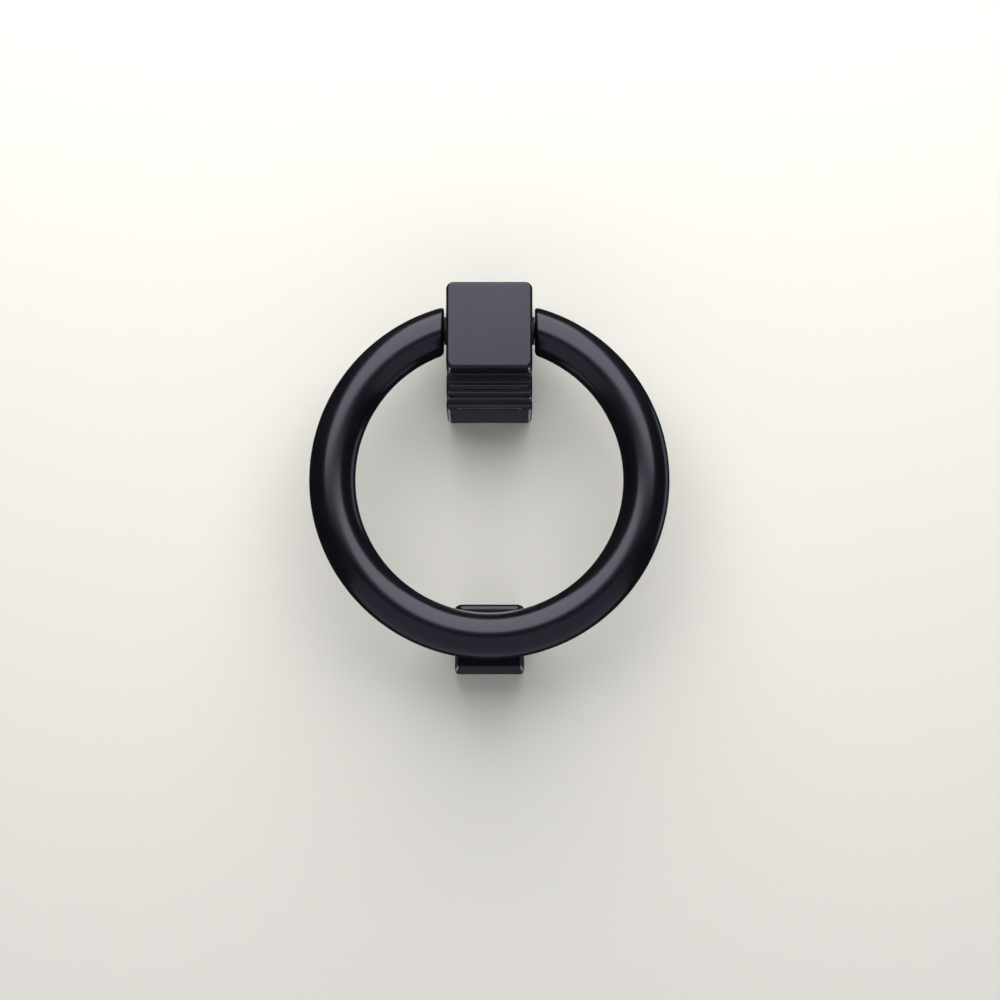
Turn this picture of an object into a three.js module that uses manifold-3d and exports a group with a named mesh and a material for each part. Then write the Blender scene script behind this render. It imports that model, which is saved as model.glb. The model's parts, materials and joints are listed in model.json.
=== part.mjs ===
// Ring door knocker: a heavy ring swings on two pins in a square hinge block and raps on a striking block.
// Millimetres, +Z up, +X to the viewer's right. The door's outer face is the plane y = 0 and the knocker
// stands out of it towards -Y. The origin is the centre of the hinge block's back face.

import * as THREE from 'three';
import { mergeVertices } from 'three/addons/utils/BufferGeometryUtils.js';
import Module from 'manifold-3d';

const wasm = await Module();
wasm.setup();

// ---- driving dimensions -------------------------------------------------------------------------------

const DOOR = 44;              // thickness of the door that the fixings are cut for
const FIT = 0.12;             // radial room round a piece that sits in a hole
const HOLE_EXTRA = 0.5;       // room past the end of a piece in a blind hole
const CLEAR = 0.15;           // room left between two faces that rest on each other

const RING_OUTER = 105;       // ring, outside diameter
const RING_TUBE = 13.5;       // ring, diameter of its round section
const RING_END_X = 13.4;      // the ring's two cut ends stand this far from the middle
const RING_OVERRUN = 2.7;     // extra bar at each end, which is trimmed off flat
const RING_TILT = 0.6;        // degrees that the ring leans out of the vertical, at rest on the striking block

const HEAD = 25;              // hinge block's head, width and height of its square face
const HEAD_CORNER = 2.5;      // radius of the head's four long edges
const HEAD_EDGE = 1.0;        // rounding of the front face's edge
const HEAD_OUT = 38;          // distance of the head's front face from the door
const HEAD_ROOT = 6.5;        // the head's bar begins this far from the door, inside the plinth
const PLINTH_DEPTH = 31;      // the plinth runs from the door nearly to the head's front
const PLINTH_HEIGHT = 36.5;
const PLINTH_CORNER = 1.6;
const NOTCH_Z = -14.6;        // notch round front and sides that parts the plinth into two tiers below the head
const HEAD_NOTCH_Z = -6.9;    // notch at the sides that parts the head from the tiers
const NOTCH_DEPTH = 0.9;
const HOLLOWS = [-8.3, -10.65, -12.5, -16.0, -17.5];   // heights of the hollows between the tiers' reeds
const HOLLOW_DEPTH = 0.7;

const HINGE_OUT = 25;         // distance of the hinge axis from the door
const PIN_D = 5;
const PIN_IN_RING = 6.2;      // how far each pin enters the ring's end
const PIN_IN_BLOCK = 5.6;
const BUSH_OUTER = 7;
const BUSH_LENGTH = 7;
const BUSH_FLANGE_D = 8.2;
const BUSH_FLANGE = 0.4;
const GRUB_D = 2.5;           // grub screw that locks a pin in the ring's end, from behind
const GRUB_LENGTH = 3.4;
const GRUB_SOCKET = 1.5;      // its hexagon socket, across corners
const GRUB_SOCKET_DEPTH = 1.4;

const STRIKE_FRONT = 18.2;    // striking block, width and height of its front face
const STRIKE_BASE = 20.5;
const STRIKE_CORNER = 1.2;
const STRIKE_EDGE = 0.9;
const STRIKE_RISE = 0.7;      // its centre's height above the middle of the ring's lowest part

const STUD_D = 6;             // M6 studs through the door
const STUD_IN = 9;            // depth that a stud is screwed into its block
const STUD_IN_NUT = 6.5;      // and into its cap nut
const STRIKE_STUD_RISE = 3.4; // from the striking block's centre up to its stud
const PEG_D = 4;              // plain peg beside each stud that stops the block from turning
const PEG_IN = 6;
const PEG_OUT = 5;
const PEG_POINT = 2;          // length of its cone, which bites into the door
const BLOCK_PEG_Z = -11;
const STRIKE_PEG_DROP = 5.6;  // from the striking block's centre down to its peg
const WASHER_D = 18;
const WASHER_BORE = 6.6;
const WASHER_THICK = 1.6;
const SPRING_WASHER_D = 11.6;
const SPRING_WASHER_BORE = 6.4;
const SPRING_WASHER_THICK = 1.6;
const SPRING_SLOT = 0.9;      // width of its slot, and its slant in degrees
const SPRING_SLANT = 29;
const NUT_ACROSS_FLATS = 10;
const NUT_SKIRT = 5;          // height of the cap nut's hexagon
const NUT_CHAMFER = 0.7;      // height of the trim on the hexagon's corners
const NUT_DOME = 4.75;        // radius of its dome, and how far its base is sunk in the hexagon
const NUT_DOME_SUNK = 0.6;

// ---- values worked out from them ----------------------------------------------------------------------

const TUBE_R = RING_TUBE / 2;
const RING_R = RING_OUTER / 2 - TUBE_R;
const HEAD_TOP = PLINTH_HEIGHT / 2;
const HEAD_BOTTOM = HEAD_TOP - HEAD;
const HINGE_Z = HEAD_TOP - HEAD / 2;
const RING_DROP = Math.sqrt(RING_R ** 2 - RING_END_X ** 2);   // from the hinge axis down to the ring's centre
const TILT = THREE.MathUtils.degToRad(RING_TILT);
const RAP_Z = HINGE_Z - (RING_DROP + RING_R) * Math.cos(TILT);
const RAP_OUT = HINGE_OUT + (RING_DROP + RING_R) * Math.sin(TILT) - TUBE_R / Math.cos(TILT);
const STRIKE_OUT = RAP_OUT - CLEAR;      // how far the striking block stands out of the door
const STRIKE_Z = RAP_Z + STRIKE_RISE;
const BLOCK_STUD_Z = HINGE_Z;
const STRIKE_STUD_Z = STRIKE_Z + STRIKE_STUD_RISE;
const STRIKE_PEG_Z = STRIKE_Z - STRIKE_PEG_DROP;
const WASHER_Y = DOOR + CLEAR;           // each fixing rests on the one before it
const SPRING_WASHER_Y = WASHER_Y + WASHER_THICK + CLEAR;
const NUT_Y = SPRING_WASHER_Y + SPRING_WASHER_THICK + CLEAR;
const STUD_END = NUT_Y + STUD_IN_NUT;

// ---- small helpers ------------------------------------------------------------------------------------

function toSolid(geometry) {
  const plain = geometry.clone();
  plain.deleteAttribute('normal');
  plain.deleteAttribute('uv');
  const merged = mergeVertices(plain, 1e-4);
  const position = Float32Array.from(merged.attributes.position.array);
  const triangles = Uint32Array.from(merged.index.array);
  return new wasm.Manifold(new wasm.Mesh({ numProp: 3, vertProperties: position, triVerts: triangles }));
}

function toGeometry(solid) {
  const mesh = solid.getMesh();
  const geometry = new THREE.BufferGeometry();
  geometry.setAttribute('position', new THREE.BufferAttribute(mesh.vertProperties, 3));
  geometry.setIndex(new THREE.BufferAttribute(mesh.triVerts, 1));
  return geometry;
}

// A rounded rectangle in the XY plane of a Shape, centred on x = 0, with its own radius at the bottom.
function roundedRectangle(width, low, high, topRadius, bottomRadius) {
  const x = width / 2;
  const shape = new THREE.Shape();
  shape.moveTo(-x + bottomRadius, low);
  shape.lineTo(x - bottomRadius, low);
  shape.absarc(x - bottomRadius, low + bottomRadius, bottomRadius, -Math.PI / 2, 0);
  shape.lineTo(x, high - topRadius);
  shape.absarc(x - topRadius, high - topRadius, topRadius, 0, Math.PI / 2);
  shape.lineTo(-x + topRadius, high);
  shape.absarc(-x + topRadius, high - topRadius, topRadius, Math.PI / 2, Math.PI);
  shape.lineTo(-x, low + bottomRadius);
  shape.absarc(-x + bottomRadius, low + bottomRadius, bottomRadius, Math.PI, Math.PI * 1.5);
  return shape;
}

// A cylinder along Y, from one y to another.
function rodY(radius, from, to, x = 0, z = 0, sides = 32) {
  const geometry = new THREE.CylinderGeometry(radius, radius, to - from, sides);
  geometry.translate(x, (from + to) / 2, z);
  return geometry;
}

// A solid of revolution about Y: points are [radius, y], and the outline starts and ends on the axis.
function turnedY(points, sides = 32) {
  const outline = points.map(([radius, y]) => new THREE.Vector2(radius, y));
  return new THREE.LatheGeometry(outline, sides);
}

// A tube with square ends about Y, as a closed outline turned about the axis.
function tubeY(inner, outer, from, to, sides = 32) {
  const outline = [[inner, from], [outer, from], [outer, to], [inner, to], [inner, from]];
  return turnedY(outline, sides);
}

const finish = {
  black: { color: 0x17171c, roughness: 0.42, metalness: 0.3 },
  steel: { color: 0xb4b6ba, roughness: 0.35, metalness: 1.0 },
  oxide: { color: 0x1d1d20, roughness: 0.45, metalness: 1.0 },
  nylon: { color: 0x101012, roughness: 0.6, metalness: 0.0 },
};

function piece(name, geometry, look) {
  const mesh = new THREE.Mesh(geometry, new THREE.MeshStandardMaterial(finish[look]));
  mesh.name = name;
  return mesh;
}

// ---- hinge block --------------------------------------------------------------------------------------

// The head: a square bar whose long edges are rounded and whose front face has a softly rounded rim.
function headSolid() {
  const shape = roundedRectangle(
    HEAD - 2 * HEAD_EDGE, HEAD_BOTTOM + HEAD_EDGE, HEAD_TOP - HEAD_EDGE,
    HEAD_CORNER - HEAD_EDGE, HEAD_CORNER - HEAD_EDGE,
  );
  const geometry = new THREE.ExtrudeGeometry(shape, {
    depth: HEAD_OUT - HEAD_ROOT - 2 * HEAD_EDGE,
    bevelThickness: HEAD_EDGE,
    bevelSize: HEAD_EDGE,
    bevelSegments: 4,
    curveSegments: 6,
  });
  geometry.rotateX(Math.PI / 2);
  geometry.translate(0, -HEAD_ROOT - HEAD_EDGE, 0);
  return toSolid(geometry);
}

function plinthSolid() {
  const shape = roundedRectangle(
    HEAD, -PLINTH_HEIGHT / 2, PLINTH_HEIGHT / 2, HEAD_CORNER, PLINTH_CORNER,
  );
  const geometry = new THREE.ExtrudeGeometry(shape, {
    depth: PLINTH_DEPTH,
    bevelEnabled: false,
    curveSegments: 6,
  });
  geometry.rotateX(Math.PI / 2);
  return toSolid(geometry);
}

// A V groove of the given depth and length about Z, as the square bar on its edge that cuts it.
function grooveCutter(depth, length) {
  return new THREE.CylinderGeometry(depth, depth, length, 4);
}

// The hollows between the reeds on the plinth's front, and the notches that part the head and the two tiers.
function plinthCuts() {
  const cuts = [];
  for (const z of [...HOLLOWS, NOTCH_Z]) {
    const across = grooveCutter(z === NOTCH_Z ? NOTCH_DEPTH : HOLLOW_DEPTH, 2 * HEAD);
    across.rotateZ(Math.PI / 2);
    across.scale(1, 1, 0.6);
    across.translate(0, -PLINTH_DEPTH, z);
    cuts.push(toSolid(across));
  }
  for (const side of [-1, 1]) {
    for (const z of [HEAD_NOTCH_Z, NOTCH_Z]) {
      const back = grooveCutter(NOTCH_DEPTH, PLINTH_DEPTH);
      back.scale(1, 1, 0.6);
      back.translate(side * HEAD / 2, -PLINTH_DEPTH / 2 - NOTCH_DEPTH, z);
      cuts.push(toSolid(back));
    }
  }
  return cuts;
}

function hingeBlock() {
  const bore = new THREE.CylinderGeometry(BUSH_OUTER / 2 + FIT, BUSH_OUTER / 2 + FIT, HEAD + 2, 32);
  bore.rotateZ(Math.PI / 2);
  bore.translate(0, -HINGE_OUT, HINGE_Z);
  let solid = headSolid().add(plinthSolid()).subtract(toSolid(bore));
  for (const cut of plinthCuts()) {
    solid = solid.subtract(cut);
  }
  const studHole = rodY(STUD_D / 2 + FIT, -STUD_IN - HOLE_EXTRA, 1, 0, BLOCK_STUD_Z);
  const pegHole = rodY(PEG_D / 2 + FIT, -PEG_IN - HOLE_EXTRA, 1, 0, BLOCK_PEG_Z);
  solid = solid.subtract(toSolid(studHole)).subtract(toSolid(pegHole));
  return toGeometry(solid);
}

// A flanged plain bush, with its flange facing +Y; it is turned to the left or the right when it is placed.
function hingeBush() {
  const inner = PIN_D / 2 + FIT;
  const outline = [
    [inner, -BUSH_LENGTH], [BUSH_OUTER / 2, -BUSH_LENGTH], [BUSH_OUTER / 2, CLEAR / 2],
    [BUSH_FLANGE_D / 2, CLEAR / 2], [BUSH_FLANGE_D / 2, BUSH_FLANGE], [inner, BUSH_FLANGE],
    [inner, -BUSH_LENGTH],
  ];
  return turnedY(outline);
}

// ---- ring ---------------------------------------------------------------------------------------------

// The ring is built upright round the origin's hinge axis: its centre lies RING_DROP below the axis.
function ringSolid() {
  const halfGap = Math.asin((RING_END_X - RING_OVERRUN) / RING_R);
  class RingPath extends THREE.Curve {
    getPoint(t, target = new THREE.Vector3()) {
      const angle = Math.PI / 2 + halfGap + t * (2 * Math.PI - 2 * halfGap);
      return target.set(RING_R * Math.cos(angle), 0, RING_R * Math.sin(angle) - RING_DROP);
    }
  }
  const section = new THREE.Shape();
  section.absarc(0, 0, TUBE_R, 0, Math.PI * 2);
  const geometry = new THREE.ExtrudeGeometry(section, {
    steps: 72,
    curveSegments: 10,
    extrudePath: new RingPath(),
  });
  const slot = new THREE.BoxGeometry(2 * RING_END_X, 4 * TUBE_R, 4 * TUBE_R);
  return toSolid(geometry).subtract(toSolid(slot));
}

function ring() {
  let solid = ringSolid();
  for (const side of [-1, 1]) {
    const pinDepth = PIN_IN_RING + HOLE_EXTRA;
    const pinHole = new THREE.CylinderGeometry(PIN_D / 2 + FIT, PIN_D / 2 + FIT, 2 * pinDepth, 32);
    pinHole.rotateZ(Math.PI / 2);
    pinHole.translate(side * RING_END_X, 0, 0);
    const grubHole = rodY(GRUB_D / 2 + FIT, 0, TUBE_R + 2, side * (RING_END_X + PIN_IN_RING / 2), 0, 24);
    solid = solid.subtract(toSolid(pinHole)).subtract(toSolid(grubHole));
  }
  return toGeometry(solid);
}

// A plain pin about Y with small chamfers, from inside the block's bush out into the ring's end.
function pivotPin() {
  const from = HEAD / 2 - PIN_IN_BLOCK;
  const to = RING_END_X + PIN_IN_RING;
  const r = PIN_D / 2;
  const chamfer = 0.5;
  return turnedY([
    [0, from], [r - chamfer, from], [r, from + chamfer], [r, to - chamfer], [r - chamfer, to], [0, to],
  ]);
}

// A socket grub screw about Y, with its point on the pin and its hexagon socket facing the door.
function grubScrew() {
  const from = PIN_D / 2 + CLEAR;
  const to = from + GRUB_LENGTH;
  const r = GRUB_D / 2;
  const point = 0.4;
  const edge = 0.2;
  const body = turnedY([
    [0, from], [r - point, from], [r, from + point], [r, to - edge], [r - edge, to], [0, to],
  ], 24);
  const socket = rodY(GRUB_SOCKET / 2, to - GRUB_SOCKET_DEPTH, to + 1, 0, 0, 6);
  return toGeometry(toSolid(body).subtract(toSolid(socket)));
}

// ---- striking block -----------------------------------------------------------------------------------

// A square block that tapers towards the ring, with rounded corners and a rounded front rim.
function strikeBlock() {
  const base = STRIKE_BASE / 2;
  const front = STRIKE_FRONT / 2;
  const shape = roundedRectangle(1, -0.5, 0.5, STRIKE_CORNER / STRIKE_BASE, STRIKE_CORNER / STRIKE_BASE);
  const outline = shape.getPoints(5).slice(0, -1);
  const rimSteps = 4;
  const taper = (base - front) / STRIKE_OUT;
  const rows = [[0, base], [STRIKE_OUT - STRIKE_EDGE, front + taper * STRIKE_EDGE]];
  for (let i = 1; i <= rimSteps; i += 1) {
    const turn = (i / rimSteps) * (Math.PI / 2);
    rows.push([
      STRIKE_OUT - STRIKE_EDGE + STRIKE_EDGE * Math.sin(turn),
      front - STRIKE_EDGE * (1 - Math.cos(turn)),
    ]);
  }
  const position = [];
  for (const [out, half] of rows) {
    for (const point of outline) {
      position.push(point.x * 2 * half, -out, point.y * 2 * half);
    }
  }
  const count = outline.length;
  const index = [];
  for (let row = 0; row < rows.length - 1; row += 1) {
    for (let i = 0; i < count; i += 1) {
      const a = row * count + i;
      const b = row * count + (i + 1) % count;
      index.push(a, b, a + count, b, b + count, a + count);
    }
  }
  const last = (rows.length - 1) * count;
  for (let i = 1; i < count - 1; i += 1) {
    index.push(0, i + 1, i);
    index.push(last, last + i, last + i + 1);
  }
  const geometry = new THREE.BufferGeometry();
  geometry.setAttribute('position', new THREE.Float32BufferAttribute(position, 3));
  geometry.setIndex(index);
  geometry.translate(0, 0, STRIKE_Z);
  const studHole = rodY(STUD_D / 2 + FIT, -STUD_IN - HOLE_EXTRA, 1, 0, STRIKE_STUD_Z);
  const pegHole = rodY(PEG_D / 2 + FIT, -PEG_IN - HOLE_EXTRA, 1, 0, STRIKE_PEG_Z);
  return toGeometry(toSolid(geometry).subtract(toSolid(studHole)).subtract(toSolid(pegHole)));
}

// ---- fixings, all turned about Y ----------------------------------------------------------------------

function stud() {
  const r = STUD_D / 2;
  const chamfer = 0.8;
  return turnedY([
    [0, -STUD_IN], [r - chamfer, -STUD_IN], [r, -STUD_IN + chamfer],
    [r, STUD_END - chamfer], [r - chamfer, STUD_END], [0, STUD_END],
  ]);
}

// A peg with a short cone at the end that bites into the door.
function peg() {
  const r = PEG_D / 2;
  const tip = 0.4;
  return turnedY([[0, -PEG_IN], [r, -PEG_IN], [r, PEG_OUT - PEG_POINT], [tip, PEG_OUT], [0, PEG_OUT]], 24);
}

function washer() {
  return tubeY(WASHER_BORE / 2, WASHER_D / 2, WASHER_Y, WASHER_Y + WASHER_THICK, 48);
}

// A split spring washer: a flat ring with a narrow slot through one side.
function springWasher() {
  const to = SPRING_WASHER_Y + SPRING_WASHER_THICK;
  const body = tubeY(SPRING_WASHER_BORE / 2, SPRING_WASHER_D / 2, SPRING_WASHER_Y, to, 40);
  const slot = new THREE.BoxGeometry(SPRING_SLOT, 4 * SPRING_WASHER_THICK, SPRING_WASHER_D);
  slot.rotateZ(THREE.MathUtils.degToRad(SPRING_SLANT));
  slot.translate(0, (SPRING_WASHER_Y + to) / 2, SPRING_WASHER_D / 2);
  return toGeometry(toSolid(body).subtract(toSolid(slot)));
}

// A domed cap nut: a hexagon skirt under a dome, with a blind hole for the stud.
function capNut() {
  const to = NUT_Y + NUT_SKIRT;
  const flat = NUT_ACROSS_FLATS / 2;
  const corner = NUT_ACROSS_FLATS / Math.sqrt(3);
  const skirt = new THREE.CylinderGeometry(corner, corner, NUT_SKIRT, 6);
  skirt.translate(0, NUT_Y + NUT_SKIRT / 2, 0);
  const trim = turnedY([
    [0, NUT_Y], [flat, NUT_Y], [corner, NUT_Y + NUT_CHAMFER], [corner, to - NUT_CHAMFER], [flat, to], [0, to],
  ], 36);
  const base = to - NUT_DOME_SUNK;
  const outline = [[0, base], [NUT_DOME, base]];
  const steps = 8;
  for (let i = 1; i <= steps; i += 1) {
    const turn = (i / steps) * (Math.PI / 2);
    outline.push([i === steps ? 0 : NUT_DOME * Math.cos(turn), base + NUT_DOME * Math.sin(turn)]);
  }
  const hole = rodY(STUD_D / 2 + FIT, NUT_Y - 1, STUD_END + HOLE_EXTRA);
  return toGeometry(
    toSolid(skirt).intersect(toSolid(trim)).add(toSolid(turnedY(outline, 36))).subtract(toSolid(hole)),
  );
}

// ---- assembly -----------------------------------------------------------------------------------------

const knocker = new THREE.Group();

knocker.add(piece('hinge_block', hingeBlock(), 'black'));

for (const side of [-1, 1]) {
  const name = side < 0 ? 'left' : 'right';
  const bush = piece(`hinge_bush_${name}`, hingeBush(), 'nylon');
  bush.position.set(side * HEAD / 2, -HINGE_OUT, HINGE_Z);
  bush.rotation.z = -side * Math.PI / 2;
  knocker.add(bush);
}

// Stud, peg, washers and cap nut that hold one block on the door.
function addFixings(prefix, studZ, pegZ) {
  const parts = { stud: stud(), washer: washer(), spring_washer: springWasher(), cap_nut: capNut() };
  for (const [name, geometry] of Object.entries(parts)) {
    const mesh = piece(`${prefix}_${name}`, geometry, 'steel');
    mesh.position.z = studZ;
    knocker.add(mesh);
  }
  const pegMesh = piece(`${prefix}_locating_peg`, peg(), 'steel');
  pegMesh.position.z = pegZ;
  knocker.add(pegMesh);
}

addFixings('block', BLOCK_STUD_Z, BLOCK_PEG_Z);
knocker.add(piece('strike_block', strikeBlock(), 'black'));
addFixings('strike', STRIKE_STUD_Z, STRIKE_PEG_Z);

// Everything that swings is in one group on the hinge axis, leaning out by the ring's tilt.
const swing = new THREE.Group();
swing.position.set(0, -HINGE_OUT, HINGE_Z);
swing.rotation.x = -TILT;
swing.add(piece('ring', ring(), 'black'));

for (const side of [-1, 1]) {
  const name = side < 0 ? 'left' : 'right';
  const pin = piece(`pivot_pin_${name}`, pivotPin(), 'oxide');
  pin.rotation.z = -side * Math.PI / 2;
  const grub = piece(`pin_grub_screw_${name}`, grubScrew(), 'oxide');
  grub.position.x = side * (RING_END_X + PIN_IN_RING / 2);
  swing.add(pin, grub);
}
knocker.add(swing);

export default knocker;
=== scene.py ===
import json
import math

import bpy
import numpy as np
from mathutils import Matrix, Vector


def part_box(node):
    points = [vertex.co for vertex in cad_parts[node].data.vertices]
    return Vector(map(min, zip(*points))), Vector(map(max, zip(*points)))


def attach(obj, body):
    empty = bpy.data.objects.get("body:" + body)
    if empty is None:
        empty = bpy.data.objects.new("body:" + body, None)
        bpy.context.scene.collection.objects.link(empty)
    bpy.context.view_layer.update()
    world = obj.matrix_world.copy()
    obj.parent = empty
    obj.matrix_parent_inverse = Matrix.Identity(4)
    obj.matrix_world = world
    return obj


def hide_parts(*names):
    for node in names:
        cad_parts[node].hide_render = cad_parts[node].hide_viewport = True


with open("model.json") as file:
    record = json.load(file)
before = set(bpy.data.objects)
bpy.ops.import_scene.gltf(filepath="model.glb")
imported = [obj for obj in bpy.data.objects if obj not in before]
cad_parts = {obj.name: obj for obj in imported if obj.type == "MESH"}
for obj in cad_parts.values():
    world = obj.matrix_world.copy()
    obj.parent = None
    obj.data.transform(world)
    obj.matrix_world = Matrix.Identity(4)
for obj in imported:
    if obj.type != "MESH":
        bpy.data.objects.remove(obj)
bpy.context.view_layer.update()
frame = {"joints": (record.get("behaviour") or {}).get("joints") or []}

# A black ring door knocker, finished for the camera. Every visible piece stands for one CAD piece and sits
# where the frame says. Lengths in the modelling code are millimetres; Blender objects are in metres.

MM = 0.001

# ---- driving dimensions, in millimetres -----------------------------------------------------------------

TUBE_R = 6.75                 # ring, radius of its round section
RING_R = 45.75                # ring, radius of the section's centre line
RING_END_X = 13.3             # the ring's two cut ends stand this far from the middle
RING_TILT = math.radians(0.6)
HEAD = 25.0                   # the hinge block's head, width and height of its square face
HEAD_CORNER = 2.1             # radius of its long edges
HEAD_RIM = 1.0                # rounding of its front face's rim
HEAD_LOWER = 0.4              # its underside is this much lower than the CAD's
PLINTH_DEPTH = 31.0           # the tiers below the head stand out nearly as far as the head
TIER_CORNER = 1.5             # radius of the plinth's tiers where they meet
NOTCH_Z = -14.6               # the notch between the two tiers below the head
REED_RISE = 0.6               # how far the reeds stand out of the plinth's front
REED_TOP = 0.4                # a reed's reach above its crest, as a share of its reach below
TIER_LEAN = 0.1               # each tier's front slopes back this much for each millimetre down
TIER_INSET = 0.9              # the core between the tiers lies this far inside their outline
TIER_BLEND = 0.1              # softness where two tiers meet
PLINTH_EDGE = 0.4             # rounding of the plinth's edges at its front and back
FACE_EDGE = 0.7               # softness of the edge round the plinth's reeded front
FACE_SCALE = 0.75             # keeps the reeded front's field below the true distance
STRIKE_FRONT = 18.2           # width of the striking block's face
STRIKE_CORNER = 1.2           # radius of its long edges
STRIKE_RIM = 1.25             # rounding of its face's rim, halfway up
STRIKE_RIM_MORE = 0.25        # the rim is rounder by this much at the top and sharper at the bottom
STRIKE_RIM_SPAN = 5.0         # that change is complete this far above and below the middle
STRIKE_BACK_EDGE = 0.3        # rounding of its edges against the door
STRIKE_DROOP = 0.4            # the striking block's face sits this much lower than its base
STRIKE_FACE_TALLER = 0.35     # half of how much taller than wide that face is
STUD_R = 3.0
STUD_HOLE = 9.5               # depth of the blind hole for a stud
PEG_R = 2.0
PEG_HOLE = 6.5                # depth of the blind hole for a locating peg
PIN_R = 2.5
BUSH_R = 3.5                  # radius of a bush's barrel
BORE_START = 5.0              # the bores for the bushes begin this far from the middle
BORE_EDGE = 0.1               # softness of such a bore's rim
FLANGE_GAP = 0.12             # between a bush's flange and the ring's end
FACE_GAP = 0.03               # between a bush's flange and the head's side
HOLE_ROOM = 0.12              # radial room round a stud, peg, pin or bush
HOLE_EDGE = 0.3               # softness of a blind hole's rim
THREAD_PITCH = 1.0

# The plinth's reeds from the top down: height of the crest, reach below it, half length, length of a run-out
# end, and the power of the profile: 1 for a soft swell, 0.5 for a round bead.
REEDS = (
    (-7.3, 0.9, 12.0, 1.0, 0.5),
    (-10.0, 0.55, 12.5, 1.0, 0.5),
    (-11.2, 1.15, 11.6, 4.5, 1.0),
    (-13.1, 1.2, 12.5, 1.0, 1.0),
    (-15.1, 0.6, 12.0, 1.0, 0.5),
    (-17.15, 0.6, 12.5, 1.0, 0.5),
    (-17.95, 0.9, 9.9, 3.0, 0.5),
)


def box_mm(node):
    """Lowest and highest corner of a CAD node, in millimetres."""
    low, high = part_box(node)
    return np.array(low) / MM, np.array(high) / MM


BLOCK_LOW, BLOCK_HIGH = box_mm("hinge_block")
STRIKE_LOW, STRIKE_HIGH = box_mm("strike_block")
HINGE = np.array(frame["joints"][0]["pos_m"]) / MM
RING_DROP = math.sqrt(RING_R**2 - RING_END_X**2)


# ---- camera ---------------------------------------------------------------------------------------------

def make_camera():
    """A long lens a little below the ring's centre, as the knocker is seen on a door."""
    below = math.radians(6.2)
    distance = 1.1
    frame_width = 0.2913      # what the picture's width covers at the ring
    aside, under = 0.0031, 0.0060
    forward = Vector((0, math.cos(below), math.sin(below)))
    up = Vector((0, -math.sin(below), math.cos(below)))
    drop = Vector((0, -math.sin(RING_TILT), -math.cos(RING_TILT))) * RING_DROP * MM
    target = Vector(HINGE * MM) + drop + Vector((aside, 0, 0)) - up * under
    data = bpy.data.cameras.new("camera")
    data.sensor_width = 36
    data.lens = data.sensor_width * distance / frame_width
    camera = bpy.data.objects.new("camera", data)
    camera.rotation_mode = "QUATERNION"
    camera.rotation_quaternion = forward.to_track_quat("-Z", "Y")
    camera.location = target - forward * distance
    bpy.context.scene.collection.objects.link(camera)
    bpy.context.scene.camera = camera


make_camera()


# ---- shapes from a distance field -----------------------------------------------------------------------
# A field gives the distance to a solid's surface, negative inside. Its zero level is meshed with quads on a
# grid whose lines are close together where the shape has small features, then the points are drawn onto it.

def rounded_rectangle(u, v, half_u, half_v, radius):
    a = np.abs(u) - half_u + radius
    b = np.abs(v) - half_v + radius
    return np.minimum(np.maximum(a, b), 0) + np.hypot(np.maximum(a, 0), np.maximum(b, 0)) - radius


def slab(flat, depth, edge):
    """A flat outline given a thickness, with its edges rounded."""
    a, b = flat + edge, depth + edge
    return np.minimum(np.maximum(a, b), 0) + np.hypot(np.maximum(a, 0), np.maximum(b, 0)) - edge


def join(a, b, soft=0.0):
    if not soft:
        return np.minimum(a, b)
    h = np.clip(0.5 + 0.5 * (b - a) / soft, 0, 1)
    return b * (1 - h) + a * h - soft * h * (1 - h)


def cut(a, b, soft=0.0):
    return -join(-a, b, soft)


def hexagon(x, z):
    """Half the width across flats of the hexagon about Y that each point lies on."""
    across = np.maximum(np.abs(x), np.abs(x * 0.5 + z * 0.866))
    return np.maximum(across, np.abs(x * 0.5 - z * 0.866))


def lines(*stops):
    """Grid lines from (start, end, step) stretches, each starting where the last one ended."""
    parts = []
    for start, end, step in stops:
        count = max(1, round((end - start) / step))
        parts.append(np.linspace(start, end, count, endpoint=False))
    return np.append(np.concatenate(parts), stops[-1][1])


def slope(field, p, h=0.01):
    """The field's gradient at points p."""
    out = np.empty_like(p)
    for axis in range(3):
        step = np.zeros(3)
        step[axis] = h
        out[:, axis] = (field(*(p + step).T) - field(*(p - step).T)) / (2 * h)
    return out


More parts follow.
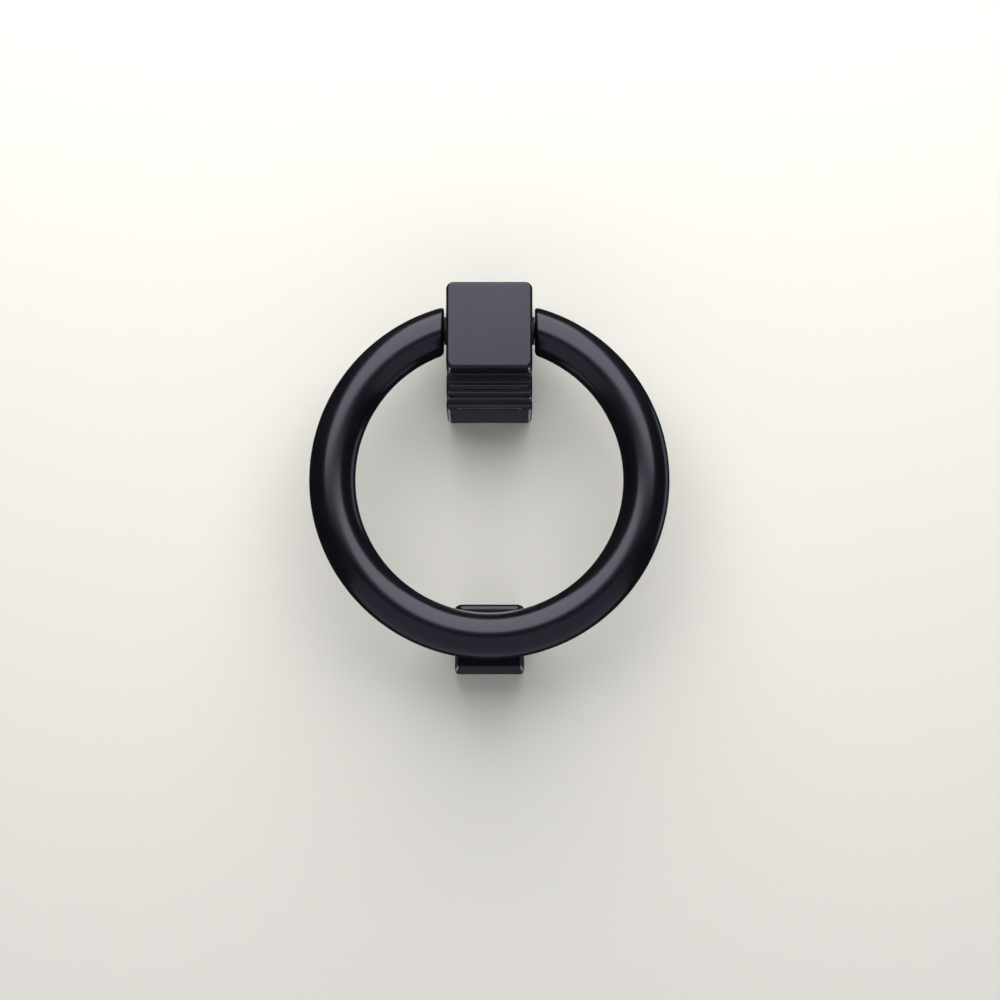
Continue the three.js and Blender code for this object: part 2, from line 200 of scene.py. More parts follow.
def net(field, xs, ys, zs):
    """Points, quads and normals of the surface where the field is zero."""
    axes = (xs, ys, zs)
    values = field(*np.meshgrid(*axes, indexing="ij"))
    cells = tuple(n - 1 for n in values.shape)
    total, count, crossings = np.zeros((*cells, 3)), np.zeros(cells), []
    for axis in range(3):
        others = [(axis + 1) % 3, (axis + 2) % 3]
        low, high = [slice(None)] * 3, [slice(None)] * 3
        low[axis], high[axis] = slice(None, -1), slice(1, None)
        f0, f1 = values[tuple(low)], values[tuple(high)]
        at = np.argwhere((f0 < 0) != (f1 < 0))
        a, b = f0[tuple(at.T)], f1[tuple(at.T)]
        points = np.stack([axes[k][at[:, k]] for k in range(3)], 1)
        points[:, axis] += (axes[axis][at[:, axis] + 1] - axes[axis][at[:, axis]]) * a / (a - b)
        corners = []
        for du, dv in ((0, 0), (1, 0), (1, 1), (0, 1)):
            cell = at.copy()
            cell[:, others[0]] -= du
            cell[:, others[1]] -= dv
            np.add.at(total, tuple(cell.T), points)
            np.add.at(count, tuple(cell.T), 1)
            corners.append(cell)
        crossings.append((corners, a < 0))
    number = np.full(cells, -1)
    used = count > 0
    number[used] = np.arange(used.sum())
    points = total[used] / count[used][:, None]
    quads = []
    for corners, outward in crossings:
        quad = np.stack([number[tuple(c.T)] for c in corners], 1)
        quads.append(np.where(outward[:, None], quad, quad[:, ::-1]))
    for _ in range(4):
        g = slope(field, points)
        length2 = np.maximum((g * g).sum(1), 0.05)
        points = points - g * (field(*points.T) / length2)[:, None]
    g = slope(field, points)
    normals = g / np.maximum(np.linalg.norm(g, axis=1), 1e-9)[:, None]
    return points, np.concatenate(quads), normals


# ---- shapes turned about a line along Y -----------------------------------------------------------------

def softened(outline, radius, steps=4):
    """An outline of (radius, y) points with its inner corners rounded."""
    points = [np.array(p, float) for p in outline]
    out = [points[0]]
    for before, here, after in zip(points, points[1:], points[2:]):
        a, b = before - here, after - here
        la, lb = np.linalg.norm(a), np.linalg.norm(b)
        reach = min(radius, la * 0.45, lb * 0.45)
        start, end = here + a / la * reach, here + b / lb * reach
        for i in range(steps + 1):
            t = i / steps
            out.append(start * (1 - t) ** 2 + here * 2 * t * (1 - t) + end * t**2)
    out.append(points[-1])
    return out


def turned(outline, around=64):
    """Points and faces of an outline turned about Y. It runs from axis to axis, or it is a closed loop."""
    points, faces, rings = [], [], []
    for radius, y in outline:
        if radius < 1e-6:
            rings.append([len(points)] * around)
            points.append((0, y, 0))
            continue
        rings.append(range(len(points), len(points) + around))
        for i in range(around):
            angle = 2 * math.pi * i / around
            points.append((radius * math.sin(angle), y, radius * math.cos(angle)))
    for below, above in zip(rings, rings[1:]):
        for i in range(around):
            j = (i + 1) % around
            face = [below[i], below[j], above[j], above[i]]
            faces.append([v for k, v in enumerate(face) if v not in face[:k]])
    return np.array(points), faces


def closed_turned(outline, around=64):
    """As turned, for an outline that is a closed loop off the axis."""
    points, faces = turned(outline, around)
    rows = len(outline)
    for i in range(around):
        j = (i + 1) % around
        faces.append([(rows - 1) * around + i, (rows - 1) * around + j, j, i])
    return points, faces


def threaded_rod(radius, y0, y1, chamfer=0.8, around=36, per_turn=8):
    """A rod with a helical thread of THREAD_PITCH, chamfered at both ends."""
    depth = 0.55 * THREAD_PITCH
    rows = round((y1 - y0) / THREAD_PITCH * per_turn)
    ys = np.linspace(y0, y1, rows + 1)
    angles = np.arange(around) * 2 * math.pi / around
    phase = (ys[:, None] / THREAD_PITCH - angles[None, :] / (2 * math.pi)) % 1
    rise = np.clip(2.6 * np.abs(2 * phase - 1) - 0.55, 0, 1)
    end = np.minimum(ys - y0, y1 - ys)[:, None]
    r = np.minimum(radius - depth * (1 - rise), radius - chamfer + np.minimum(end, chamfer))
    points = np.stack([r * np.sin(angles), np.repeat(ys[:, None], around, 1), r * np.cos(angles)], 2)
    points = points.reshape(-1, 3)
    faces = []
    for row in range(rows):
        for i in range(around):
            j = (i + 1) % around
            a, b = row * around, (row + 1) * around
            faces.append([a + i, a + j, b + j, b + i])
    faces.append(list(range(around))[::-1])
    faces.append(list(range(rows * around, (rows + 1) * around)))
    return points, faces


# ---- materials ------------------------------------------------------------------------------------------

class Nodes:
    """A material with a Principled shader, and short calls to add nodes that feed it."""

    def __init__(self, name, **inputs):
        self.material = bpy.data.materials.new(name)
        self.material.use_nodes = True
        self.tree = self.material.node_tree
        self.shader = self.tree.nodes["Principled BSDF"]
        for key, value in inputs.items():
            self.shader.inputs[key.replace("_", " ")].default_value = value
        self.coordinates = self.tree.nodes.new("ShaderNodeTexCoord").outputs["Object"]

    def noise(self, scale, detail=3.0, roughness=0.5, stretch=None):
        node = self.tree.nodes.new("ShaderNodeTexNoise")
        node.inputs["Scale"].default_value = scale
        node.inputs["Detail"].default_value = detail
        node.inputs["Roughness"].default_value = roughness
        source = self.coordinates
        if stretch:
            mapping = self.tree.nodes.new("ShaderNodeMapping")
            mapping.inputs["Scale"].default_value = stretch
            self.tree.links.new(source, mapping.inputs["Vector"])
            source = mapping.outputs["Vector"]
        self.tree.links.new(source, node.inputs["Vector"])
        return node.outputs["Fac"]

    def ramp(self, source, *stops):
        """A colour ramp over source; each stop is (place, grey or colour)."""
        node = self.tree.nodes.new("ShaderNodeValToRGB")
        elements = node.color_ramp.elements
        while len(elements) < len(stops):
            elements.new(0.5)
        for element, (place, value) in zip(elements, stops):
            element.position = place
            element.color = (*value, 1) if isinstance(value, tuple) else (value, value, value, 1)
        self.tree.links.new(source, node.inputs["Fac"])
        return node.outputs["Color"]

    def mix(self, factor, a, b, kind="MIX"):
        node = self.tree.nodes.new("ShaderNodeMix")
        node.data_type = "RGBA"
        node.blend_type = kind
        for socket, value in ((node.inputs[0], factor), (node.inputs[6], a), (node.inputs[7], b)):
            if isinstance(value, bpy.types.NodeSocket):
                self.tree.links.new(value, socket)
            elif isinstance(value, tuple):
                socket.default_value = (*value, 1)
            else:
                socket.default_value = value
        return node.outputs[2]

    def edges(self, low=0.52, high=0.6):
        """White on convex edges, black elsewhere."""
        geometry = self.tree.nodes.new("ShaderNodeNewGeometry")
        return self.ramp(geometry.outputs["Pointiness"], (low, 0.0), (high, 1.0))

    def set(self, name, source):
        self.tree.links.new(source, self.shader.inputs[name])

    def bump(self, *layers):
        """Chained bump layers, each (height, strength, distance in metres)."""
        normal = None
        for height, strength, distance in layers:
            node = self.tree.nodes.new("ShaderNodeBump")
            node.inputs["Strength"].default_value = strength
            node.inputs["Distance"].default_value = distance
            self.tree.links.new(height, node.inputs["Height"])
            if normal:
                self.tree.links.new(normal, node.inputs["Normal"])
            normal = node.outputs["Normal"]
        self.set("Normal", normal)


def satin_black():
    """Black coating with a faint blue cast: near-black, satin, with the light ripple of paint."""
    n = Nodes("satin_black", IOR=1.5, Specular_Tint=(0.82, 0.82, 1.0, 1))
    body = n.ramp(n.noise(90, 4), (0.3, (0.0024, 0.0024, 0.0036)), (0.75, (0.0045, 0.0045, 0.0062)))
    # Convex edges and rims get a lighter colour: partly the thinner coat on the edges, partly a painted
    # highlight on the rounded rims.
    n.set("Base Color", n.mix(n.edges(), body, (0.026, 0.026, 0.033)))
    cloud = n.ramp(n.noise(55, 5, 0.6), (0.25, 0.15), (0.75, 0.21))
    grain = n.noise(2600, 2)
    n.set("Roughness", n.mix(0.12, cloud, grain))
    n.bump((n.noise(500, 2), 0.06, 0.00006), (n.noise(5200, 2), 0.05, 0.00002))
    return n.material


def zinc_steel():
    """Zinc-plated steel: bright, with turning lines and a slight yellow and blue drift in the plating."""
    n = Nodes("zinc_steel", Metallic=1.0)
    tint = n.ramp(n.noise(160, 3), (0.3, (0.60, 0.62, 0.66)), (0.7, (0.68, 0.66, 0.60)))
    grime = n.ramp(n.noise(420, 5, 0.65), (0.35, 0.72), (0.6, 1.0))
    n.set("Base Color", n.mix(1.0, tint, grime, "MULTIPLY"))
    turning = n.noise(1.0, 3, 0.6, stretch=(500, 9000, 500))
    n.set("Roughness", n.ramp(turning, (0.3, 0.24), (0.75, 0.4)))
    n.bump((turning, 0.12, 0.00003), (n.noise(3000, 2), 0.05, 0.00002))
    return n.material


def black_oxide():
    """Black-oxide steel: near-black and metallic, browned a little, with fine turning lines."""
    n = Nodes("black_oxide", Metallic=1.0)
    n.set("Base Color", n.ramp(n.noise(250, 4), (0.3, (0.016, 0.016, 0.02)), (0.75, (0.034, 0.031, 0.03))))
    turning = n.noise(1.0, 3, 0.6, stretch=(6000, 500, 500))
    n.set("Roughness", n.ramp(turning, (0.3, 0.3), (0.75, 0.46)))
    n.bump((turning, 0.1, 0.00003), (n.noise(3000, 2), 0.05, 0.00002))
    return n.material


def black_nylon():
    """Moulded black nylon, duller than the coating, with a fine grain."""
    n = Nodes("black_nylon", IOR=1.53)
    n.set("Base Color", n.ramp(n.noise(300, 3), (0.3, 0.004), (0.7, 0.007)))
    n.set("Roughness", n.ramp(n.noise(900, 3), (0.3, 0.45), (0.7, 0.58)))
    n.bump((n.noise(4000, 2), 0.15, 0.00003))
    return n.material


MATERIALS = {
    "satin_black": satin_black(),
    "zinc_steel": zinc_steel(),
    "black_oxide": black_oxide(),
    "black_nylon": black_nylon(),
}


# ---- making pieces --------------------------------------------------------------------------------------

def add_piece(name, node, body, slot, points, faces, normals=None, sharp=35):
    """A finished piece that stands for one CAD node and rides on its body; points are millimetres."""
    mesh = bpy.data.meshes.new(name)
    mesh.from_pydata((np.asarray(points) * MM).tolist(), [], [list(f) for f in faces])
    mesh.update()
    mesh.shade_smooth()
    mesh.materials.append(MATERIALS[slot])
    if normals is None:
        mesh.set_sharp_from_angle(angle=math.radians(sharp))
    else:
        mesh.normals_split_custom_set_from_vertices(normals.tolist())
    piece = bpy.data.objects.new(name, mesh)
    bpy.context.scene.collection.objects.link(piece)
    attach(piece, body)
    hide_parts(node)
    return piece


def about_hinge(points):
    """Points made round the hinge axis with the ring hanging straight down, put where the ring rests."""
    c, s = math.cos(RING_TILT), math.sin(RING_TILT)
    x, y, z = np.asarray(points, float).T
    return np.stack([x, c * y + s * z, c * z - s * y], 1) + HINGE


def along_x(points, side):
    """Points made about Y, laid along X towards the left (-1) or the right (1)."""
    x, y, z = np.asarray(points, float).T
    return np.stack([side * y, -side * x, z], 1)


# ---- hinge block and striking block ---------------------------------------------------------------------

def blind_hole(x, y, z, radius, height, depth):
    """A hole from the back face, at a height."""
    return np.maximum(np.hypot(x, z - height) - radius, -depth - y)


def reed_relief(x, z):
    """How far the plinth's front stands out at each place: rounded reeds whose ends run out like a boat's."""
    relief = np.zeros(np.broadcast(x, z).shape)
    for crest, reach, length, taper, power in REEDS:
        t = np.clip((length - np.abs(x)) / taper, 0, 1)
        width = np.sqrt(1 - (1 - t) ** 2) + 1e-6
        across = (z - crest) / (reach * width * np.where(z > crest, REED_TOP, 1))
        rise = min(REED_RISE, 0.8 * reach) * width * np.clip(1 - across**2, 0, 1) ** power
        relief = np.maximum(relief, rise)
    tier_top = np.where(z > NOTCH_Z, BLOCK_HIGH[2] - HEAD, NOTCH_Z)
    return relief - TIER_LEAN * (tier_top - z)


def hinge_block():
    top, bottom, front = BLOCK_HIGH[2], BLOCK_LOW[2], BLOCK_LOW[1]
    half = HEAD / 2
    head_bottom = top - HEAD - HEAD_LOWER
    seam = head_bottom + 0.1      # where the upper tier meets the part of the plinth behind the head
    stud_z = np.mean([v[2] for v in box_mm("block_stud")])
    peg_z = np.mean([v[2] for v in box_mm("block_locating_peg")])

    def tier(x, z, low, high, upper_corner):
        middle = (low + high) / 2
        corner = np.where(z > middle, upper_corner, TIER_CORNER)
        return rounded_rectangle(x, z - middle, half, (high - low) / 2, corner)

    def field(x, y, z):
        head_middle, head_half = (top + head_bottom) / 2, (top - head_bottom) / 2
        head_flat = rounded_rectangle(x, z - head_middle, half, head_half, HEAD_CORNER)
        head_back = -PLINTH_DEPTH / 2
        head = slab(head_flat, np.abs(y - (front + head_back) / 2) - (head_back - front) / 2, HEAD_RIM)
        outline = rounded_rectangle(x, z, half - TIER_INSET, (top - bottom) / 2 - TIER_INSET, 1)
        outline = join(outline, tier(x, z, seam, top, HEAD_CORNER))
        outline = join(outline, tier(x, z, NOTCH_Z, seam, TIER_CORNER), TIER_BLEND)
        outline = join(outline, tier(x, z, bottom, NOTCH_Z, TIER_CORNER), TIER_BLEND)
        plinth = slab(outline, np.abs(y + PLINTH_DEPTH / 2) - PLINTH_DEPTH / 2, PLINTH_EDGE)
        face = FACE_SCALE * (REED_RISE - PLINTH_DEPTH - reed_relief(x, z) - y)
        solid = join(cut(plinth, -face, FACE_EDGE), head)
        bore = np.hypot(y - HINGE[1], z - HINGE[2]) - (BUSH_R + HOLE_ROOM)
        solid = cut(solid, np.maximum(bore, BORE_START - np.abs(x)), BORE_EDGE)
        solid = cut(solid, blind_hole(x, y, z, STUD_R + HOLE_ROOM, stud_z, STUD_HOLE), HOLE_EDGE)
        return cut(solid, blind_hole(x, y, z, PEG_R + HOLE_ROOM, peg_z, PEG_HOLE), HOLE_EDGE)

    # Grid steps are fine at the edges, the reeds and the bores, and coarse between them.
    edge = half - 1.6
    xs = lines(
        (-half - 0.4, -edge, 0.15), (-edge, -4, 0.4), (-4, 4, 0.28), (4, edge, 0.4),
        (edge, half + 0.4, 0.15),
    )
    ys = lines(
        (front - 0.4, front + 1.6, 0.13), (front + 1.6, -PLINTH_DEPTH - 0.5, 0.6),
        (-PLINTH_DEPTH - 0.5, -PLINTH_DEPTH + 1.7, 0.11), (-PLINTH_DEPTH + 1.7, HINGE[1] + 4.2, 0.3),
        (HINGE[1] + 4.2, -0.9, 0.7), (-0.9, 0.4, 0.14),
    )
    zs = lines(
        (bottom - 0.4, head_bottom + 1.6, 0.12), (head_bottom + 1.6, HINGE[2] - 4.2, 0.6),
        (HINGE[2] - 4.2, HINGE[2] + 4.2, 0.3), (HINGE[2] + 4.2, top - 2.8, 0.6), (top - 2.8, top + 0.4, 0.18),
    )
    add_piece("hinge_block_coated", "hinge_block", "mounting", "satin_black", *net(field, xs, ys, zs))


def strike_block():
    out = -STRIKE_LOW[1]
    middle = (STRIKE_LOW[2] + STRIKE_HIGH[2]) / 2
    base = (STRIKE_HIGH[0] - STRIKE_LOW[0]) / 2
    front = STRIKE_FRONT / 2
    stud_z = np.mean([v[2] for v in box_mm("strike_stud")])
    peg_z = np.mean([v[2] for v in box_mm("strike_locating_peg")])

    def field(x, y, z):
        along = -y / out
        half = base + (front - base) * along
        droop = STRIKE_DROOP * along
        half_tall = half + STRIKE_FACE_TALLER * along
        flat = rounded_rectangle(x, z - middle + droop, half, half_tall, STRIKE_CORNER)
        front_rim = STRIKE_RIM + STRIKE_RIM_MORE * np.clip((z - middle) / STRIKE_RIM_SPAN, -1, 1)
        rim = np.where(y < -out / 2, front_rim, STRIKE_BACK_EDGE)
        solid = slab(flat, np.abs(y + out / 2) - out / 2, rim)
        solid = cut(solid, blind_hole(x, y, z, STUD_R + HOLE_ROOM, stud_z, STUD_HOLE), HOLE_EDGE)
        return cut(solid, blind_hole(x, y, z, PEG_R + HOLE_ROOM, peg_z, PEG_HOLE), HOLE_EDGE)

    edge = front - 1.6
    across = lines((-base - 0.4, -edge, 0.18), (-edge, edge, 0.35), (edge, base + 0.4, 0.18))
    ys = lines((-out - 0.4, -out + 1.4, 0.13), (-out + 1.4, -0.9, 0.7), (-0.9, 0.4, 0.14))
    surface = net(field, across, ys, across + middle)
    add_piece("strike_block_coated", "strike_block", "mounting", "satin_black", *surface)


# ---- ring -----------------------------------------------------------------------------------------------

def ring():
    """The open ring. Every row of points follows the bar, and the first and last rows lie in its cut ends."""
    rows, around = 300, 80
    softening, soft_rows = 1.0, 7
    hole_r, hole_depth = PIN_R + HOLE_ROOM, 6.5
    land_r, countersink = 5.0, 0.3      # flat round the pin's hole, and the bevel of its rim
    phi = np.arange(around) * 2 * math.pi / around

    def row(x_end, radius, t):
        reach = RING_R + radius * np.cos(phi)
        start = np.arcsin(x_end / reach)
        angle = start + t * (2 * math.pi - 2 * start)
        return np.stack([reach * np.sin(angle), radius * np.sin(phi), reach * np.cos(angle) - RING_DROP], 1)

    def disc(x, radius):
        """A circle of points about the pin's axis, in the plane at x."""
        return np.stack([np.full(around, x), radius * np.sin(phi), radius * np.cos(phi)], 1)

    body = []
    for i in range(soft_rows):
        turn = i / soft_rows * math.pi / 2
        inset = softening * (1 - math.sin(turn))
        body.append(row(RING_END_X + softening * (1 - math.cos(turn)), TUBE_R - inset, 0.0))
    for i in range(rows + 1):
        body.append(row(RING_END_X + softening, TUBE_R, i / rows))
    for i in reversed(range(soft_rows)):
        body.append(body[i] * (-1, 1, 1))
    caps = []
    for deep, radius in (
        (0, land_r), (0, hole_r + countersink), (countersink, hole_r), (hole_depth, hole_r),
    ):
        caps.append(disc(RING_END_X + deep, radius))
    loops = caps[::-1] + body + [c * (-1, 1, 1) for c in caps]
    points = about_hinge(np.concatenate(loops))
    faces = []
    for k in range(len(loops) - 1):
        for i in range(around):
            j = (i + 1) % around
            a, b = k * around, (k + 1) * around
            faces.append([a + i, b + i, b + j, a + j])
    faces.append(list(range(around)))
    last = (len(loops) - 1) * around
    faces.append(list(range(last, last + around))[::-1])
    piece = add_piece("ring_coated", "ring", "swinging_ring", "satin_black", points, faces, sharp=30)
    drill_grub_holes(piece)


def drill_grub_holes(piece):
    """Cuts the two grub screw holes into the ring's ends from behind."""
    radius, half_length = 1.37, 6
    behind = 3      # the drill's middle stands this far behind the screw's, so that it cuts no deeper
    for name in ("pin_grub_screw_left", "pin_grub_screw_right"):
        low, high = box_mm(name)
        centre = (low + high) / 2
        outline = [(0, -half_length), (radius, -half_length), (radius, half_length), (0, half_length)]
        outline = softened(outline, 0.01)
        points, faces = turned(outline, 40)
        mesh = bpy.data.meshes.new("drill")
        place = points + (centre[0], centre[1] + behind, centre[2])
        mesh.from_pydata((place * MM).tolist(), [], faces)
        drill = bpy.data.objects.new("drill", mesh)
        bpy.context.scene.collection.objects.link(drill)
        modifier = piece.modifiers.new("drill", "BOOLEAN")
        modifier.object = drill
        modifier.operation = "DIFFERENCE"
        modifier.solver = "EXACT"
        depsgraph = bpy.context.evaluated_depsgraph_get()
        result = bpy.data.meshes.new_from_object(piece.evaluated_get(depsgraph))
        piece.modifiers.clear()
        piece.data = result
        bpy.data.objects.remove(drill)


# ---- hinge pins, bushes and grub screws -----------------------------------------------------------------

def hinge_parts():
    for side, name in ((-1, "left"), (1, "right")):
        low, high = box_mm(f"hinge_bush_{name}")
        flange_r = (high[2] - low[2]) / 2
        inner = PIN_R + HOLE_ROOM
        reach = sorted((abs(low[0]), abs(high[0])))
        reach[1] = RING_END_X - FLANGE_GAP
        face = HEAD / 2 + FACE_GAP
        loop = [
            (inner, reach[0]), (BUSH_R, reach[0]), (BUSH_R, face), (flange_r, face), (flange_r, reach[1]),
            (inner, reach[1]), (inner, reach[0]),
        ]
        points, faces = closed_turned(softened(loop, 0.12)[:-1], 72)
        points = along_x(points, side) + (0, HINGE[1], HINGE[2])
        add_piece(
            f"hinge_bush_{name}_moulded", f"hinge_bush_{name}", "mounting", "black_nylon",
            points, faces,
        )

        low, high = box_mm(f"pivot_pin_{name}")
        reach = sorted((abs(low[0]), abs(high[0])))
        bevel = 0.5
        outline = [
            (0, reach[0]), (PIN_R - bevel, reach[0]), (PIN_R, reach[0] + bevel),
            (PIN_R, reach[1] - bevel), (PIN_R - bevel, reach[1]), (0, reach[1]),
        ]
        points, faces = turned(softened(outline, 0.1), 64)
        pin = about_hinge(along_x(points, side))
        add_piece(f"pivot_pin_{name}_ground", f"pivot_pin_{name}", "swinging_ring", "black_oxide", pin, faces)

        low, high = box_mm(f"pin_grub_screw_{name}")
        points, quads, normals = grub_screw((high[1] - low[1]) / 2)
        add_piece(
            f"pin_grub_screw_{name}_machined", f"pin_grub_screw_{name}", "swinging_ring", "black_oxide",
            points + (low + high) / 2, quads, normals,
        )


def grub_screw(half):
    """A socket grub screw about Y, with a fine thread and its hexagon socket towards +Y."""
    radius, pitch, groove = 1.18, 0.45, 0.066
    socket_half, socket_depth = 0.65, 1.4

    def field(x, y, z):
        r = np.hypot(x, z)
        turn = np.arctan2(x, z) / (2 * math.pi)
        wave = groove * np.cos(2 * math.pi * (y / pitch - turn))
        body = slab(r - radius + wave, np.abs(y) - half, 0.2)
        socket = np.maximum(hexagon(x, z) - socket_half, half - socket_depth - y)
        return cut(body, socket, 0.06)

    across = lines((-1.5, 1.5, 0.09))
    return net(field, across, lines((-half - 0.2, half + 0.2, 0.08)), across)


# ---- fixings --------------------------------------------------------------------------------------------

def cap_nut(low, high):
    """A domed cap nut about Y: hexagon skirt with chamfered corners, dome, and the stud's blind hole."""
    half = (high[0] - low[0]) / 2
    dome_r, dome_wall = 4.75, 1.6
    base = high[1] - dome_r
    end = base + 0.6      # the hexagon ends a little past the foot of the dome

    def field(x, y, z):
        r = np.hypot(x, z)
        skirt = slab(hexagon(x, z) - half, np.abs(y - (low[1] + end) / 2) - (end - low[1]) / 2, 0.15)
        # The hexagon's corners are bevelled at both ends by cones that rise at 30 degrees.
        for face, way in ((low[1], 1), (end, -1)):
            cone = (r - half * 0.97 - way * (y - face) * 1.73) * 0.5
            skirt = np.maximum(skirt, cone)
        dome = np.where(y > base, np.sqrt(r**2 + (y - base) ** 2), r) - dome_r
        dome = np.maximum(dome, low[1] + 1 - y)
        solid = join(skirt, dome, 0.25)
        hole = np.maximum(r - STUD_R - HOLE_ROOM, y - (high[1] - dome_wall))
        return cut(solid, hole, 0.25)

    z = lines((-half * 1.17 - 0.3, half * 1.17 + 0.3, 0.2))
    x = lines((-half - 0.3, half + 0.3, 0.2))
    return net(field, x, lines((low[1] - 0.3, high[1] + 0.3, 0.2)), z)


def spring_washer(low, high):
    """A square-section ring with a slanting slot through one side."""
    inner, outer = STUD_R + 0.2, (high[0] - low[0]) / 2
    middle, half = (low[1] + high[1]) / 2, (high[1] - low[1]) / 2
    half_slot, slant = 0.45, 0.5

    def field(x, y, z):
        r = np.hypot(x, z)
        body = slab(np.maximum(inner - r, r - outer), np.abs(y - middle) - half, 0.15)
        aside = x * math.cos(slant) + (y - middle) * math.sin(slant)
        slot = np.maximum(np.abs(aside) - half_slot, 1 - z)
        return cut(body, slot, 0.12)

    across = lines((-outer - 0.3, outer + 0.3, 0.16))
    return net(field, across, lines((low[1] - 0.2, high[1] + 0.2, 0.12)), across)


def fixings(prefix):
    """Stud, peg, washers and cap nut of one block."""
    low, high = box_mm(f"{prefix}_stud")
    at = np.array((0, 0, (low[2] + high[2]) / 2))
    rod = threaded_rod(STUD_R, low[1], high[1])
    add_piece(
        f"{prefix}_stud_threaded", f"{prefix}_stud", "mounting", "zinc_steel",
        rod[0] + at, rod[1], sharp=50,
    )

    low, high = box_mm(f"{prefix}_locating_peg")
    peg_at = np.array((0, 0, (low[2] + high[2]) / 2))
    outline = [
        (0, low[1]), (PEG_R - 0.3, low[1]), (PEG_R, low[1] + 0.3),
        (PEG_R, high[1] - 2), (0.4, high[1]), (0, high[1]),
    ]
    peg = turned(softened(outline, 0.15), 56)
    add_piece(
        f"{prefix}_locating_peg_turned", f"{prefix}_locating_peg", "mounting", "zinc_steel",
        peg[0] + peg_at, peg[1],
    )

    low, high = box_mm(f"{prefix}_washer")
    inner, outer = STUD_R + 0.3, (high[0] - low[0]) / 2
    loop = [(inner, low[1]), (outer, low[1]), (outer, high[1]), (inner, high[1]), (inner, low[1])]
    washer = closed_turned(softened(loop, 0.25)[:-1], 96)
    add_piece(
        f"{prefix}_washer_pressed", f"{prefix}_washer", "mounting", "zinc_steel", washer[0] + at, washer[1]
    )

    for name, make, suffix in (("spring_washer", spring_washer, "split"), ("cap_nut", cap_nut, "domed")):
        low, high = box_mm(f"{prefix}_{name}")
        points, quads, normals = make(low, high)
        add_piece(
            f"{prefix}_{name}_{suffix}", f"{prefix}_{name}", "mounting", "zinc_steel",
            points + at, quads, normals,
        )


# ---- backdrop and light ---------------------------------------------------------------------------------

def plain_material(name, colour, roughness):
    material = bpy.data.materials.new(name)
    material.use_nodes = True
    shader = material.node_tree.nodes["Principled BSDF"]
    shader.inputs["Base Color"].default_value = (*colour, 1)
    shader.inputs["Roughness"].default_value = roughness
    shader.inputs["Specular IOR Level"].default_value = 0.2
    return material


def one_sided(material):
    """Lets the eye and light through the material's back, so that the wall hides nothing from behind."""
    tree = material.node_tree
    back = tree.nodes.new("ShaderNodeNewGeometry").outputs["Backfacing"]
    clear = tree.nodes.new("ShaderNodeBsdfTransparent")
    mix = tree.nodes.new("ShaderNodeMixShader")
    tree.links.new(back, mix.inputs["Fac"])
    tree.links.new(tree.nodes["Principled BSDF"].outputs[0], mix.inputs[1])
    tree.links.new(clear.outputs[0], mix.inputs[2])
    tree.links.new(mix.outputs[0], tree.nodes["Material Output"].inputs["Surface"])


def backdrop():
    """A pale wall just behind the two blocks, where the door is, and a pale floor far below."""
    wall_y = 0.0004
    floor_z = -0.75
    colour, roughness = (0.60, 0.583, 0.54), 0.85
    for name, corners in (
        ("wall", [(-4, wall_y, floor_z), (4, wall_y, floor_z), (4, wall_y, 4), (-4, wall_y, 4)]),
        ("floor", [(-4, -3, floor_z), (4, -3, floor_z), (4, 3, floor_z), (-4, 3, floor_z)]),
    ):
        mesh = bpy.data.meshes.new(name)
        mesh.from_pydata(corners, [], [(0, 1, 2, 3)])
        material = plain_material(name, colour, roughness)
        mesh.materials.append(material)
        sheet = bpy.data.objects.new(name, mesh)
        bpy.context.scene.collection.objects.link(sheet)
        if name == "wall":
            one_sided(material)
        sheet.visible_glossy = False
        sheet.visible_shadow = False


def softbox(name, low_edge, high_edge, width, facing, radiance, colour=(1, 1, 1)):
    """A rectangular softbox as wide as given, between the middles of its low and high edges."""
    low, high = Vector(low_edge), Vector(high_edge)
    up = (high - low).normalized()
    way = Vector(facing) - (low + high) / 2
    way = (way - up * way.dot(up)).normalized()
    data = bpy.data.lights.new(name, "AREA")
    data.shape = "RECTANGLE"
    data.size, data.size_y = width, (high - low).length
    data.energy = radiance * math.pi * data.size * data.size_y
    data.color = colour
    light = bpy.data.objects.new(name, data)
    light.matrix_world = Matrix((up.cross(-way), up, -way)).transposed().to_4x4()
    light.location = (low + high) / 2
    bpy.context.scene.collection.objects.link(light)
    return light


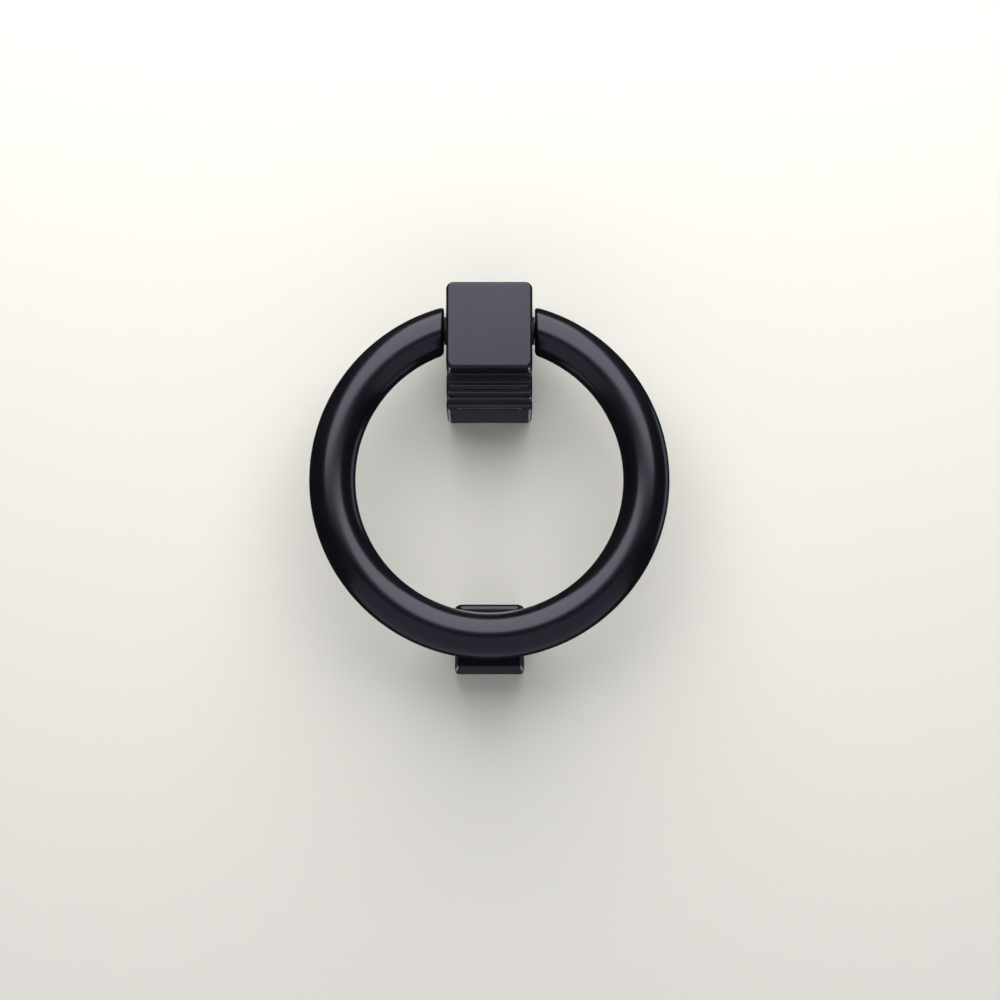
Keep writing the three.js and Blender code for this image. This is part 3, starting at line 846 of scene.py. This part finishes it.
def lighting():
    """A large key above and in front with a dim skirt below it, a weak fill low in front and a rim light.

    Behind stand a narrow high light, a dim panel for the undersides and two small glints for the corners.
    The overhead light is for the wall and floor, and no glossy surface reflects it. The world is dim, and
    dimmer still in reflections; the camera sees a pale one.
    """
    knocker = (0, -0.03, -0.04)
    softbox("key", (0, -0.63, 0.062), (0, 0.0, 0.98), 0.94, knocker, 3.45)
    softbox("key_skirt", (0, -0.64, -0.04), (0, -0.632, 0.06), 0.94, knocker, 0.2, (0.9, 0.93, 1))
    softbox("low_fill", (0, -1.6, -0.4), (0, 0.4, -0.6), 1.6, knocker, 0.52, (0.86, 0.9, 1))
    softbox("rim", (1.15, 0.6, -0.3), (1.15, 0.6, 0.6), 0.4, knocker, 0.9, (0.7, 0.84, 1))
    softbox("back_key", (0, 1.2, 0.24), (0, 0.85, 0.8), 0.2, knocker, 1.0)
    softbox("behind", (0, 1.3, -0.3), (0, 1.3, -0.03), 0.9, knocker, 0.045, (0.82, 0.86, 1))
    for name, x in (("glint_left", -0.17), ("glint_right", 0.17)):
        softbox(name, (x, 1.3, -0.12), (x, 1.3, -0.02), 0.12, knocker, 1.0, (0.92, 0.92, 1))
    overhead = softbox("overhead", (0, -1.4, 2.8), (0, 1.4, 2.8), 3, knocker, 3.2)
    overhead.visible_glossy = False
    world = bpy.data.worlds.new("surround")
    world.use_nodes = True
    tree = world.node_tree
    diffuse_strength, glossy_strength = 0.12, 0.03
    background = tree.nodes["Background"]
    background.inputs["Color"].default_value = (0.78, 0.82, 0.95, 1)
    seen = tree.nodes.new("ShaderNodeBackground")
    seen.inputs["Color"].default_value = (0.86, 0.85, 0.83, 1)
    seen.inputs["Strength"].default_value = 1.0
    path = tree.nodes.new("ShaderNodeLightPath")
    dimmed = tree.nodes.new("ShaderNodeMix")
    dimmed.inputs["A"].default_value = diffuse_strength
    dimmed.inputs["B"].default_value = glossy_strength
    tree.links.new(path.outputs["Is Glossy Ray"], dimmed.inputs["Factor"])
    tree.links.new(dimmed.outputs["Result"], background.inputs["Strength"])
    choose = tree.nodes.new("ShaderNodeMixShader")
    tree.links.new(path.outputs["Is Camera Ray"], choose.inputs["Fac"])
    tree.links.new(background.outputs[0], choose.inputs[1])
    tree.links.new(seen.outputs[0], choose.inputs[2])
    tree.links.new(choose.outputs[0], tree.nodes["World Output"].inputs["Surface"])
    bpy.context.scene.world = world
    bpy.context.scene.view_settings.view_transform = "Standard"


# ---- the whole ------------------------------------------------------------------------------------------

hinge_block()
strike_block()
ring()
hinge_parts()
fixings("block")
fixings("strike")
backdrop()
lighting()
